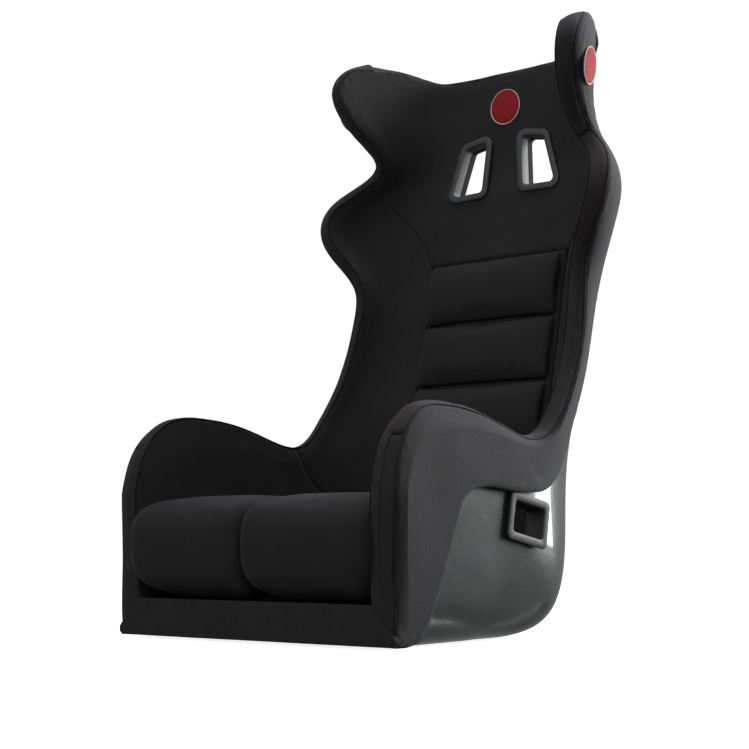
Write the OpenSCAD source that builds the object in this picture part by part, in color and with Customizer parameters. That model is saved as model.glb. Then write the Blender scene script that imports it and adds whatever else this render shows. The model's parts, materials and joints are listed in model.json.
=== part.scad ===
// Fixed-back racing seat: a moulded glass-fibre shell with head wings, glued foam pads, sewn covers,
// belt slot bezels and three pads held on by hook-and-loop tape.
// +X is the sitter's left, -Y is the front of the seat, +Z is up. The origin is the centre of the four
// threaded inserts in the underside, on the plane that the seat rests on.

/* [Shell] */
// Wall thickness of the glass-fibre shell
shell_t = 5; // [4:0.5:6]
// Grid cells down the shell
shell_rows = 44; // [30:2:52]
// Grid cells across each half of the shell
shell_cols = 16; // [12:1:18]

/* [Padding] */
// Air left between neighbouring layers
gap = 1.2; // [1:0.1:1.5]
// Thickness of a sewn cover with its scrim foam
cover_t = 2; // [1.5:0.5:3]
// How far the rim roll stands past the shell's edge on the sitter's side
rim_in = 11; // [9:1:14]
// How far the rim roll stands past the shell's edge on the outer side
rim_out = 4; // [3:1:7]
// How far the front of a thigh bolster stands past the shell's edge
front_out = 13; // [11:1:14]

/* [Seat cushions] */
// Height of the cushions' underside above the floor
cushion_z = 68.6; // [68.4:0.2:70]
// Radius of the half-round roll along the front of the cushions
roll_r = 63; // [55:1:66]
// Half width of the pair of cushions
cushion_half_w = 214; // [200:1:214]
// Height of the cushions' back edge above the floor
cushion_back_z = 160; // [150:1:165]

/* [Back cushion] */
// Height of one sewn segment
back_pad_segment = 105; // [90:5:120]
// Thickness of the back cushion at a sewn channel
back_pad_channel = 4; // [3:1:6]
// Thickness of the back cushion at the crown of a segment
back_pad_crown = 18; // [12:1:22]

/* [Belt slots] */
// Width of the flange around a shoulder belt slot
bezel_w = 11; // [9:1:12]
// Thickness of a slot flange
bezel_t = 4; // [3:0.5:5]
// Wall of the sleeve through a belt slot
sleeve_t = 2.5; // [2:0.5:3]

/* [Base] */
// Distance between the inserts across the seat
insert_x = 280; // [240:5:290]
// Distance between the inserts along the seat
insert_y = 240; // [200:5:240]
// Radius of the threaded hole, for an M8 bolt
thread_r = 4; // [3:0.5:5]

/* [Hidden] */
$fn = 48;

fabric = "#2b2b2d";
patch_fabric = "#2e2528";
foam = "#d8cfa8";
gelcoat = "#3f4543";
grey_plastic = "#4b4c4e";
steel = "silver";

// The shell's outer face is a smooth surface over stations that run from the top of the head down the
// back and along the pan to the front lip. Each station has a point on the centre line, a flat half
// width, a back corner, a point on the side wall and a point on the rim.
mid_y = 160;
floor_z = -8;
// Centre line, [y, z], and half width of its flat
centre = [[606, 902, 105], [606, 884, 105], [605, 850, 105], [604, 808, 105], [602, 768, 105],
    [599, 732, 108], [595, 698, 112], [589, 658, 118], [582, 615, 120], [573, 562, 120],
    [561, 500, 120], [546, 420, 120], [522, 330, 125], [500, 224, 130], [486, 94, 140],
    [440, 9, 150], [352, -8, 160], [240, -8, 175], [120, -8, 195], [50, -8, 210], [8, -8, 215]];
// Back corner, [x, share of the way to the wall]
corner = [[165, .1], [165, .1], [165, .1], [163, .1], [163, .1], [175, .1], [188, .1], [198, .1],
    [197, .1], [187, .1], [184, .1], [187, .1], [184, .1], [186, .12], [208, .14], [230, .1],
    [234, 0], [240, 0], [245, 0], [247, 0], [248, 0]];
// Side wall, [x, y, z]
wall = [[200, 535, 928], [210, 515, 912], [215, 500, 868], [203, 518, 805], [198, 547, 765],
    [222, 535, 730], [260, 512, 695], [280, 502, 655], [260, 507, 605], [228, 520, 550],
    [220, 500, 490], [226, 472, 405], [232, 428, 325], [232, 378, 245], [244, 340, 178],
    [246, 288, 152], [245, 220, 142], [245, 150, 134], [245, 84, 125], [246, 32, 115],
    [247, 5, 100]];
// Rim, [x, y, z]
rim = [[213, 486, 930], [235, 448, 916], [242, 411, 874], [219, 444, 809], [198, 509, 765],
    [229, 502, 728], [277, 450, 691], [279, 434, 643], [259, 445, 602], [215, 474, 550],
    [222, 463, 489], [229, 440, 400], [236, 392, 325], [238, 347, 272], [236, 293, 271],
    [239, 230, 293], [241, 165, 307], [243, 102, 310], [246, 46, 302], [250, 13, 259], [251, 4, 195]];
// Padding thickness inside the shell and cover thickness outside it, at each station
pad_in = [22, 24, 24, 24, 22, 20, 22, 22, 20, 19, 19, 20, 21, 22, 23, 24, 24, 25, 26, 27, 27];
pad_out = [10, 12, 13, 13, 10, 10, 11, 11, 10, 10, 10, 10, 11, 12, 13, 14, 14, 15, 15, 16, 16];
last = len(centre) - 1;
rim_col = 4;

// Shoulder slot outline, [x, height above the slot's foot], and its place
slot_outline = [[32, 0], [118, -2], [87, 98], [23, 109]];
slot_y = 571;
slot_z = 692;
slot_tilt = 4.5;
slot_depth = 28;
// Lap slot outline, [y, z], on the side wall
lap_outline = [[239, 132], [330, 115], [341, 181], [251, 198]];
lap_flange = 12;
lap_x = 248;

insert_r = 7;
insert_h = 15;
insert_flange_r = 15;
insert_flange_t = 2;
cushion_split = 0.5;
cushion_floor = cushion_z + floor_z;
roll_y = 27;
tape_t = 1;
border_t = 12;
outer_thin = 5;

// ---- surface -------------------------------------------------------------------------------------

// Control point of station i and column j: 0 centre, 1 flat, 2 corner, 3 wall, 4 rim
function net(i, j) =
    i < 0 ? 2 * net(0, j) - net(1, j) :
    i > last ? 2 * net(last, j) - net(last - 1, j) :
    j < 0 ? [-net(i, 1).x, net(i, 1).y, net(i, 1).z] :
    j > rim_col ? 2 * net(i, rim_col) - net(i, rim_col - 1) :
    j == 0 ? [0, centre[i][0], centre[i][1]] :
    j == 1 ? [centre[i][2], centre[i][0], centre[i][1]] :
    j == 2 ? [corner[i][0],
        centre[i][0] + (wall[i].y - centre[i][0]) * corner[i][1],
        centre[i][1] + (wall[i].z - centre[i][1]) * corner[i][1]] :
    j == 3 ? wall[i] : rim[i];

CONTROL = [for (i = [-1:last + 1]) [for (j = [-1:rim_col + 1]) net(i, j)]];

// Cubic B-spline weights and their slopes at t in a cell
function weights(t) = [pow(1 - t, 3), 3 * pow(t, 3) - 6 * t * t + 4,
    -3 * pow(t, 3) + 3 * t * t + 3 * t + 1, pow(t, 3)] / 6;
function slopes(t) = [-pow(1 - t, 2), 3 * t * t - 4 * t, -3 * t * t + 2 * t + 1, t * t] / 2;
function cell(u, n) = max(0, min(floor(u), n - 1));
function blend(i, j, wu, wv) = [for (a = [0:3]) wu[a]] * [for (a = [0:3])
    [for (b = [0:3]) wv[b]] * [for (b = [0:3]) CONTROL[i + a][j + b]]];

// Point, outward normal and edge direction at station u and column v on the left half
function half_frame(u, v) =
    let (i = cell(u, last), j = cell(v, rim_col), wu = weights(u - i), wv = weights(v - j),
        du = blend(i, j, slopes(u - i), wv), dv = blend(i, j, wu, slopes(v - j)), n = cross(dv, du))
    [blend(i, j, wu, wv), n / norm(n), dv / norm(dv), norm(dv)];
function flip(p, s) = [p.x * s, p.y, p.z];
function frame(u, v) =
    let (f = half_frame(u, abs(v)), s = v < 0 ? -1 : 1) [flip(f[0], s), flip(f[1], s), flip(f[2], s)];
function at(u, v, depth) = let (f = frame(u, v)) f[0] - f[1] * depth;
// The shell's edge, by stations down the rim and then by columns along the front edge
function edge_at(k) = k <= last ? [k, rim_col] : [last, rim_col + last - k];
function edge_cell(k) =
    let (c = edge_at(k), turn = max(0, min(1, (k - last + 2) / 2)))
    [min(c[0], last - 0.2), min(c[1], rim_col - 0.3 * turn)];
// Point near the edge: e millimetres past it, depth towards the sitter
function past_edge(k, e, depth) =
    let (p = edge_at(k), a = edge_at(k - 0.02), b = edge_at(min(k + 0.02, last + rim_col)), c = edge_cell(k),
        tangent = frame(b[0], b[1])[0] - frame(a[0], a[1])[0],
        n = frame(c[0], c[1])[1],
        out = cross(tangent, n), side = out / norm(out))
    frame(p[0], p[1])[0] + side * e - n * depth;
function along(list, u) = let (i = cell(u, last), t = u - i) list[i] * (1 - t) + list[i + 1] * t;
function inner(u) = along(pad_in, u);
function outer(u) = -along(pad_out, u);

// ---- solids --------------------------------------------------------------------------------------

// Closed solid between two grids of points with the same rows and columns
module between(a, b) {
    rows = len(a) - 1;
    cols = len(a[0]) - 1;
    across = cols + 1;
    step = (rows + 1) * across;
    function id(r, c, k) = k * step + r * across + c;
    points = concat([for (row = a) each row], [for (row = b) each row]);
    skins = [for (r = [0:rows - 1], c = [0:cols - 1])
        each [[id(r, c, 0), id(r, c + 1, 0), id(r + 1, c + 1, 0)],
            [id(r, c, 0), id(r + 1, c + 1, 0), id(r + 1, c, 0)],
            [id(r, c, 1), id(r + 1, c + 1, 1), id(r, c + 1, 1)],
            [id(r, c, 1), id(r + 1, c, 1), id(r + 1, c + 1, 1)]]];
    ends = [for (c = [0:cols - 1])
        each [[id(0, c, 0), id(0, c, 1), id(0, c + 1, 1)], [id(0, c, 0), id(0, c + 1, 1), id(0, c + 1, 0)],
            [id(rows, c, 0), id(rows, c + 1, 1), id(rows, c, 1)],
            [id(rows, c, 0), id(rows, c + 1, 0), id(rows, c + 1, 1)]]];
    sides = [for (r = [0:rows - 1])
        each [[id(r, 0, 0), id(r + 1, 0, 1), id(r, 0, 1)], [id(r, 0, 0), id(r + 1, 0, 0), id(r + 1, 0, 1)],
            [id(r, cols, 0), id(r, cols, 1), id(r + 1, cols, 1)],
            [id(r, cols, 0), id(r + 1, cols, 1), id(r + 1, cols, 0)]]];
    translate([0, -mid_y, -floor_z]) polyhedron(points, concat(skins, ends, sides), convexity = 8);
}

// Value at u from a list of [u, value, value] rows
function row_at(rows, u) =
    let (k = max([0, for (i = [0:len(rows) - 2]) if (rows[i][0] <= u) i]),
        t = (u - rows[k][0]) / (rows[k + 1][0] - rows[k][0])) rows[k] * (1 - t) + rows[k + 1] * t;

// Layer on the shell between two depths; each row is [station, first column, last column]
module layer(rows, nu, nv, deep, shallow) {
    u0 = rows[0][0];
    u1 = rows[len(rows) - 1][0];
    cells = [for (i = [0:nu]) let (r = row_at(rows, u0 + (u1 - u0) * i / nu))
        [for (j = [0:nv]) [r[0], r[1] + (r[2] - r[1]) * j / nv]]];
    between([for (row = cells) [for (c = row) at(c[0], c[1], deep(c[0], c[1]))]],
        [for (row = cells) [for (c = row) at(c[0], c[1], shallow(c[0], c[1]))]]);
}

foam_foot = function (u, v) shell_t + 1.5 * gap;
foam_top = function (u, v) inner(u) - cover_t - gap;
cover_foot = function (u, v) inner(u) - cover_t;
cover_top = function (u, v) inner(u);
outer_foot = function (u, v) -gap;
// The outer covers thin out towards the back of the waist
outer_top = function (u, v) let (t = max(0, min(1, max(v - 2.6, (u - 13.5) / 1.5))))
    -outer_thin + (outer(u) + outer_thin) * t;

// Roll over the shell's edge from place k0 to k1; its outer end may run on to k2, for a mitre
module rim_roll(k0, k1, n, k2 = undef, proud = [rim_in - 4, rim_in, rim_out, rim_out - 2], clear = gap) {
    stop = is_undef(k2) ? k1 : k2;
    rolls = [for (i = [0:n]) [for (c = [0:3])
        let (t = c / 3, k = k0 + (k1 * (1 - t) + stop * t - k0) * i / n, a = inner(min(k, last)),
            b = outer(min(k, last)), depth = [a, a - 4, b + 4, b][c])
        [past_edge(k, proud[c], depth), past_edge(k, clear, depth)]]];
    between([for (row = rolls) [for (p = row) p[0]]], [for (row = rolls) [for (p = row) p[1]]]);
}

module left() { children(); }
module right() { mirror([1, 0, 0]) children(); }

// ---- shell and base ------------------------------------------------------------------------------

module insert_places() {
    for (x = [-1, 1], y = [-1, 1]) translate([x * insert_x / 2, y * insert_y / 2, 0]) children();
}

module rounded(outline, grow, r) {
    offset(r = r) offset(delta = grow - r) polygon(outline);
}

// Shoulder slot outline grown by some millimetres and extruded forwards from its foot
module shoulder_prism(grow, r, from, to) {
    translate([0, slot_y - mid_y, slot_z - floor_z]) rotate([90 - slot_tilt, 0, 0])
        translate([0, 0, from]) linear_extrude(to - from) rounded(slot_outline, grow, r);
}

// Lap slot outline grown by some millimetres and extruded sideways
module lap_prism(grow, r, from, to) {
    translate([from, -mid_y, -floor_z]) rotate([90, 0, 90]) linear_extrude(to - from)
        rounded(lap_outline, grow, r);
}

shoulder_hole = -bezel_w + sleeve_t;
lap_hole = -lap_flange + sleeve_t;

module both_sides() {
    left() children();
    right() children();
}

module shell() {
    color(gelcoat) difference() {
        layer([[0, -rim_col, rim_col], [last, -rim_col, rim_col]], shell_rows, 2 * shell_cols,
            function (u, v) 0, function (u, v) shell_t);
        both_sides() shoulder_prism(shoulder_hole + 0.3, 6, -slot_depth - 20, 20);
        both_sides() lap_prism(lap_hole + 0.3, 6, 200, 300);
        insert_places() translate([0, 0, -1]) cylinder(r = insert_r + 0.1, h = 30);
    }
}

module threaded_inserts() {
    color(steel) insert_places() difference() {
        union() {
            cylinder(r = insert_r, h = insert_h);
            translate([0, 0, shell_t + 1]) cylinder(r = insert_flange_r, h = insert_flange_t);
        }
        translate([0, 0, -1]) cylinder(r = thread_r, h = insert_h + 2);
    }
}

// ---- foam and covers -----------------------------------------------------------------------------

// Edge of the head panel: across the wings, then in along the diagonal seam to the back cushion
head_rows = [[0.15, -3.95, 3.95], [4.3, -3.95, 3.95], [5.2, -3.1, 3.1], [6.4, -2.2, 2.2],
    [7.6, -1.6, 1.6], [8.55, -1.3, 1.3]];
back_rows = [[8.62, -1.26, 1.26], [15.1, -1.26, 1.26]];
side_rows = [[4.42, 3.9, 3.95], [5.2, 3.16, 3.95], [6.4, 2.26, 3.95], [7.6, 1.66, 3.95],
    [8.6, 1.33, 3.95], [13.6, 1.33, 3.95]];
thigh_rows = [[13.65, 1.33, 3.95], [15.1, 1.45, 3.95], [16.5, 1.7, 3.95], [19.82, 1.75, 3.95]];
base_rows = [[15.3, -1.0, 1.0], [16.5, -1.2, 1.2], [19.9, -1.36, 1.36]];

module head_holes() {
    both_sides() shoulder_prism(shoulder_hole + 0.5, 6, -slot_depth - 20, 20);
}

module lap_hole_cut() { lap_prism(lap_hole + 0.5, 6, 190, 300); }

module head_foam() {
    color(foam) difference() {
        layer(head_rows, 18, 20, foam_foot, foam_top);
        head_holes();
    }
}

module head_cover() {
    color(fabric) difference() {
        layer(head_rows, 18, 20, cover_foot, cover_top);
        head_holes();
        both_sides() shoulder_prism(0.4, 12, -0.4, bezel_t + 6);
    }
}

module back_foam() { color(foam) layer(back_rows, 12, 6, foam_foot, foam_top); }
module back_cover() { color(fabric) layer(back_rows, 12, 6, cover_foot, cover_top); }
module side_foam() { color(foam) layer(side_rows, 18, 8, foam_foot, foam_top); }
module side_cover() { color(fabric) layer(side_rows, 18, 8, cover_foot, cover_top); }

module thigh_foam() {
    color(foam) difference() {
        layer(thigh_rows, 12, 10, foam_foot, foam_top);
        lap_hole_cut();
    }
}

module thigh_cover() {
    color(fabric) difference() {
        layer(thigh_rows, 12, 10, cover_foot, cover_top);
        lap_hole_cut();
    }
}

// Foam that fills the pan up to a level top under the cushions
base_top = cushion_floor - tape_t - cover_t - 0.5 - 1;
function lift_to(u, v, z) = let (f = frame(u, v)) (z - f[0].z) / -f[1].z;
module seat_base_foam() {
    color(foam) difference() {
        layer(base_rows, 16, 18, function (u, v) shell_t + 2 * gap, function (u, v) lift_to(u, v, base_top));
        insert_places() cylinder(r = insert_flange_r + 1, h = insert_h + 1);
    }
}

module seat_base_cover() {
    color(fabric) translate([0, -mid_y, base_top + 0.5 - floor_z]) linear_extrude(cover_t)
        rounded([[-196, 8], [196, 8], [196, 240], [180, 310], [150, 375], [-150, 375], [-180, 310],
            [-196, 240]], 0, 10);
}

// ---- rim -----------------------------------------------------------------------------------------

module head_rim() { color(fabric) rim_roll(0, 4.35, 20, clear = 2 * gap); }
module shoulder_rim() { color(patch_fabric) rim_roll(4.42, 8.6, 12); }
module waist_rim() { color(fabric) rim_roll(8.67, 16.4, 18); }
module thigh_rim() { color(patch_fabric) rim_roll(16.47, 18.9, 8); }

// Cover folded over the top edge between the wings
module head_top_rim() {
    n = 20;
    cols = [for (i = [0:n]) -3.9 + 7.8 * i / n];
    color(fabric) between(
        [for (v = cols) let (f = frame(0, v), a = inner(0), b = outer(0))
            [for (p = [[2, a], [6, a - 4], [6, b + 6], [2, b + 3]]) f[0] + [0, 0, p[0]] - f[1] * p[1]]],
        [for (v = cols) let (f = frame(0, v), a = inner(0), b = outer(0))
            [for (p = [[gap, a], [gap, a - 4], [gap, b + 6], [gap, b + 3]])
                f[0] + [0, 0, p[0]] - f[1] * p[1]]]);
}

// Front of the thigh bolster, from the thigh roll down to the mitre at the front border
module bolster_front() {
    color(fabric) rim_roll(18.97, 21.43, 14, 21.8,
        [front_out - 4, front_out, front_out, front_out - 4]);
}

module front_border() {
    color(fabric) translate([0, 1 - mid_y, -floor_z]) rotate([90, 0, 0]) linear_extrude(border_t)
        polygon([[-220, 48], [220, 48], [258, 8], [260, 0], [-260, 0], [-258, 8]]);
}

// ---- outer covers --------------------------------------------------------------------------------

// Outside of the head wing, shoulder and waist, [station, back edge, rim]
wing_rows = [[0.1, 3.0, 3.95], [4.3, 2.9, 3.95], [8, 2.6, 3.95], [12.9, 2.7, 3.95]];
// Outside of the hip and thigh down to the shaped lower edge
hip_rows = [[12.95, 2.7, 3.95], [13.4, 3.26, 3.95], [14.3, 3.24, 3.95], [15.3, 3.35, 3.95],
    [16.2, 3.37, 3.95], [17.0, 3.32, 3.95], [17.4, 3.12, 3.95], [17.9, 2.85, 3.95], [18.4, 2.5, 3.95],
    [18.8, 2.2, 3.95], [19.05, 1.9, 3.95], [19.95, 1.85, 3.95]];

module wing_cover() { color(fabric) layer(wing_rows, 26, 6, outer_top, outer_foot); }
module hip_cover() { color(fabric) layer(hip_rows, 24, 8, outer_top, outer_foot); }

// ---- belt slots ----------------------------------------------------------------------------------

module shoulder_bezel() {
    color(grey_plastic) difference() {
        union() {
            shoulder_prism(0, 12, 0, bezel_t);
            shoulder_prism(shoulder_hole, 6, -14, bezel_t);
        }
        shoulder_prism(-bezel_w, 5, -30, bezel_t + 1);
    }
}

module shoulder_sleeve() {
    color(grey_plastic) difference() {
        union() {
            shoulder_prism(shoulder_hole + 5, 8, -slot_depth, -slot_depth + 2.5);
            shoulder_prism(shoulder_hole, 6, -slot_depth, -14.3);
        }
        shoulder_prism(-bezel_w, 5, -slot_depth - 10, 0);
    }
}

module lap_bezel() {
    color("#26282a") difference() {
        union() {
            lap_prism(0, 8, lap_x, lap_x + bezel_t);
            lap_prism(lap_hole, 6, 219, lap_x + bezel_t);
        }
        lap_prism(-lap_flange, 5, 200, 300);
    }
}

// ---- removable pads ------------------------------------------------------------------------------

// Cushion outline in the side view, [y, z], pulled in by some millimetres, with its back end at y = back
roll_z = cushion_floor + roll_r;
function side_outline(inset, back) =
    let (foot = cushion_floor + inset, r = roll_r - inset)
    concat([for (a = [265:-25:90]) [roll_y + r * cos(a), roll_z + r * sin(a)]],
        [[roll_y + (back - roll_y) * 0.5, roll_z + r - (roll_z + r - cushion_back_z - floor_z + inset) * 0.35],
        [back - inset - 12, cushion_back_z + floor_z - inset],
        [back - inset, cushion_back_z + floor_z - inset - 12],
        [back - inset - (cushion_back_z - cushion_z) * 0.4, foot + 8],
        [back - inset - (cushion_back_z - cushion_z) * 0.4 - 8, foot]]);

// [x, inset, back end]
cushion_rows = [[cushion_split, 12, 422], [cushion_split + 4, 4, 424], [cushion_split + 15, 0, 426],
    [140, 0, 415], [184, 0, 350], [cushion_half_w - 8, 4, 280], [cushion_half_w, 12, 240]];
module seat_cushion() {
    outlines = [for (r = cushion_rows) [for (p = side_outline(r[1], r[2])) [r[0], p.x, p.y]]];
    count = len(outlines[0]);
    rows = len(outlines);
    points = [for (o = outlines) each o];
    function id(r, c) = r * count + c % count;
    sides = [for (r = [0:rows - 2], c = [0:count - 1])
        each [[id(r, c), id(r + 1, c), id(r + 1, c + 1)], [id(r, c), id(r + 1, c + 1), id(r, c + 1)]]];
    caps = [for (c = [1:count - 2]) each [[id(0, 0), id(0, c), id(0, c + 1)],
        [id(rows - 1, 0), id(rows - 1, c + 1), id(rows - 1, c)]]];
    color(fabric) translate([0, -mid_y, -floor_z]) polyhedron(points, concat(sides, caps), convexity = 4);
}

// Back cushion: sewn segments that crown between channels
pad_u0 = 8.66;
pad_u1 = 13.35;
pad_v = 1.26;
pad_rows = 24;
// The lowest segment is thinner, next to the seat cushions
back_pad_taper = 5;
pad_top_z = frame(pad_u0, 0)[0].z;
function puff(u, v) =
    let (f = max(0, pad_top_z - frame(u, 0)[0].z) / back_pad_segment)
    back_pad_channel + (back_pad_crown - back_pad_channel - back_pad_taper * max(0, min(1, u - 11.3)))
        * sqrt(sin(180 * (f - floor(f))))
        * sqrt(max(0, 1 - pow(abs(v) / pad_v, 6)));
module back_cushion() {
    color(fabric) layer([[pad_u0, -pad_v, pad_v], [pad_u1, -pad_v, pad_v]], pad_rows, 12,
        function (u, v) inner(u) + tape_t + 1, function (u, v) inner(u) + tape_t + 1 + puff(u, v));
}

module seat_hook_tapes() {
    color("black") translate([0, -mid_y, base_top + cover_t + 0.5 - floor_z + 0.1])
        for (x = [-120, 120], y = [90, 260]) translate([x - 60, y, 0]) cube([120, 25, tape_t]);
}

module back_hook_tapes() {
    for (u = [9.4, 12.4]) color("black") layer([[u, -1, 1], [u + 0.4, -1, 1]], 2, 8,
        function (u, v) inner(u) + 0.5, function (u, v) inner(u) + 0.5 + tape_t);
}

// ---- badges --------------------------------------------------------------------------------------

module badge(u, v, depth, r) {
    f = frame(u, v);
    c = f[0] - f[1] * depth;
    n = depth > 0 ? -f[1] : f[1];
    yaw = atan2(n.y, n.x);
    pitch = acos(n.z);
    color("#7c1f22") translate(c + [0, -mid_y, -floor_z]) rotate([0, pitch, yaw]) cylinder(r = r, h = 1.5);
}

module head_badge() { badge(2.3, 0, inner(2.3) + 0.4, 24); }
module wing_badge() { badge(2.75, 3.55, outer(2.75) - 1.2, 22); }

shell();
threaded_inserts();
head_foam();
back_foam();
left() side_foam();  // side_foam_left
right() side_foam();  // side_foam_right
left() thigh_foam();  // thigh_foam_left
right() thigh_foam();  // thigh_foam_right
seat_base_foam();
head_cover();
back_cover();
left() side_cover();  // side_cover_left
right() side_cover();  // side_cover_right
left() thigh_cover();  // thigh_cover_left
right() thigh_cover();  // thigh_cover_right
seat_base_cover();
head_top_rim();
left() head_rim();  // head_rim_left
right() head_rim();  // head_rim_right
left() shoulder_rim();  // shoulder_rim_left
right() shoulder_rim();  // shoulder_rim_right
left() waist_rim();  // waist_rim_left
right() waist_rim();  // waist_rim_right
left() thigh_rim();  // thigh_rim_left
right() thigh_rim();  // thigh_rim_right
left() bolster_front();  // bolster_front_left
right() bolster_front();  // bolster_front_right
front_border();
left() wing_cover();  // wing_cover_left
right() wing_cover();  // wing_cover_right
left() hip_cover();  // hip_cover_left
right() hip_cover();  // hip_cover_right
left() shoulder_bezel();  // shoulder_bezel_left
right() shoulder_bezel();  // shoulder_bezel_right
left() shoulder_sleeve();  // shoulder_sleeve_left
right() shoulder_sleeve();  // shoulder_sleeve_right
left() lap_bezel();  // lap_bezel_left
right() lap_bezel();  // lap_bezel_right
left() seat_cushion();  // seat_cushion_left
right() seat_cushion();  // seat_cushion_right
back_cushion();
seat_hook_tapes();
back_hook_tapes();
head_badge();
left() wing_badge();  // wing_badge_left
right() wing_badge();  // wing_badge_right
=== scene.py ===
# %% [markdown]
# # A fixed-back racing seat
# The seat is a glass-fibre shell with foam glued into it. Sewn covers hide the foam, padded rims
# close the shell's edge, and three loose pads are held on by hook-and-loop tape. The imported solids
# come first, as a fixed frame. Every visible piece is then built around them, in the same place.

# %% The frame
import json
import math

import bmesh
import bpy
import numpy as np
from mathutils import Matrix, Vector

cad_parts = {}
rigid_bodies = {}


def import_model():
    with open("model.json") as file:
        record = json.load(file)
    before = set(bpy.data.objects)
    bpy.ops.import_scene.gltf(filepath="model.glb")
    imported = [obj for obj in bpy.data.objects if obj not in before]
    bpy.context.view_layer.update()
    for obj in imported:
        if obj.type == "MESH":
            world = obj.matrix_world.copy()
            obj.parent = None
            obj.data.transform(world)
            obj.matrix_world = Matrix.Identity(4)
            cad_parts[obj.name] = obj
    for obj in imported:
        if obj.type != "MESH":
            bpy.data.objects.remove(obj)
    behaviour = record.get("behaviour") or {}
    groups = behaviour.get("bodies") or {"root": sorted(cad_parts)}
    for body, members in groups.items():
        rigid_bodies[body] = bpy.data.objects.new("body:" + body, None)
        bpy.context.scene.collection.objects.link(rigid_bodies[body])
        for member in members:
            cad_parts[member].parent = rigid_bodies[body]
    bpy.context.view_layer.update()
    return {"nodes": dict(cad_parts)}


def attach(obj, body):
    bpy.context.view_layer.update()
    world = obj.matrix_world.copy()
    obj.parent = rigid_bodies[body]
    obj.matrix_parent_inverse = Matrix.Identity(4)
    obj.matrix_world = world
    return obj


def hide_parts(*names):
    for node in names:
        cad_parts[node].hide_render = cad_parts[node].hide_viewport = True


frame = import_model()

# %% [markdown]
# ## One surface for everything
# The mould gives the seat its shape, so one smooth surface stands for the shell's outer face. It is
# a cubic B-spline net: stations run from the top of the head down the back and along the pan, and
# each station has a centre line, a back corner, a side wall and a rim. Lengths are in millimetres
# until a mesh is made, and the axes are the seat's own, with y = 0 near the front lip.

# %% Stations of the shell
CENTRE = np.array([(606, 902, 105), (606, 884, 105), (605, 850, 105), (604, 808, 105),
    (602, 768, 105), (599, 732, 108), (595, 698, 112), (589, 658, 118), (582, 615, 120),
    (573, 562, 120), (561, 500, 120), (546, 420, 120), (522, 330, 125), (500, 224, 130),
    (486, 94, 140), (440, 9, 150), (352, -8, 160), (240, -8, 175), (120, -8, 195), (50, -8, 210),
    (8, -8, 215)], float)
CORNER = np.array([(165, .1), (165, .1), (165, .1), (163, .1), (163, .1), (175, .1), (188, .1),
    (198, .1), (197, .1), (187, .1), (184, .1), (187, .1), (184, .1), (186, .12), (208, .14),
    (230, .1), (234, 0), (240, 0), (245, 0), (247, 0), (248, 0)], float)
WALL = np.array([(200, 535, 928), (210, 515, 912), (215, 500, 868), (203, 518, 805),
    (198, 547, 765), (222, 535, 730), (260, 512, 695), (280, 502, 655), (260, 507, 605),
    (228, 520, 550), (220, 500, 490), (226, 472, 405), (232, 428, 325), (232, 378, 245),
    (244, 340, 178), (246, 288, 152), (245, 220, 142), (245, 150, 134), (245, 84, 125),
    (246, 32, 115), (247, 5, 100)], float)
RIM = np.array([(213, 486, 930), (235, 448, 916), (242, 411, 874), (219, 444, 809),
    (198, 509, 765), (229, 502, 728), (277, 450, 691), (279, 434, 643), (259, 445, 602),
    (215, 474, 550), (222, 463, 489), (229, 440, 400), (236, 392, 325), (238, 347, 272),
    (236, 293, 271), (239, 230, 293), (241, 165, 307), (243, 102, 310), (246, 46, 302),
    (250, 13, 259), (251, 4, 195)], float)
PAD_IN = [22, 24, 24, 24, 22, 20, 22, 22, 20, 19, 19, 20, 21, 22, 23, 24, 24, 25, 26, 27, 27]
PAD_OUT = [10, 12, 13, 13, 10, 10, 11, 11, 10, 10, 10, 10, 11, 12, 13, 14, 14, 15, 15, 16, 16]
LAST, RIM_COL = len(CENTRE) - 1, 4
SHELL_T, GAP = 5, 1.2
MID_Y, FLOOR_Z = 160, -8

# %% The net of control points, with one extra ring around it
net = np.zeros((LAST + 3, RIM_COL + 3, 3))
net[1:-1, 1, 1:] = CENTRE[:, :2]
net[1:-1, 2] = CENTRE[:, (2, 0, 1)]
net[1:-1, 3, 0] = CORNER[:, 0]
net[1:-1, 3, 1:] = CENTRE[:, :2] + (WALL[:, 1:] - CENTRE[:, :2]) * CORNER[:, 1:]
net[1:-1, 4], net[1:-1, 5] = WALL, RIM
net[1:-1, 0] = net[1:-1, 2] * (-1, 1, 1)
net[1:-1, -1] = 2 * net[1:-1, -2] - net[1:-1, -3]
net[0], net[-1] = 2 * net[1] - net[2], 2 * net[-2] - net[-3]
print("net:", net.shape)


# %% Points, normals and edge directions anywhere on the surface
def weights(t):
    return np.array([(1 - t) ** 3, 3 * t ** 3 - 6 * t * t + 4, -3 * t ** 3 + 3 * t * t + 3 * t + 1,
        t ** 3]) / 6


def slopes(t):
    return np.array([-(1 - t) ** 2, 3 * t * t - 4 * t, -3 * t * t + 2 * t + 1, t * t]) / 2


def unit(vectors):
    """Vectors of length 1; one that has no length stays zero."""
    return vectors / np.maximum(np.linalg.norm(vectors, axis=-1, keepdims=True), 1e-12)


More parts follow.
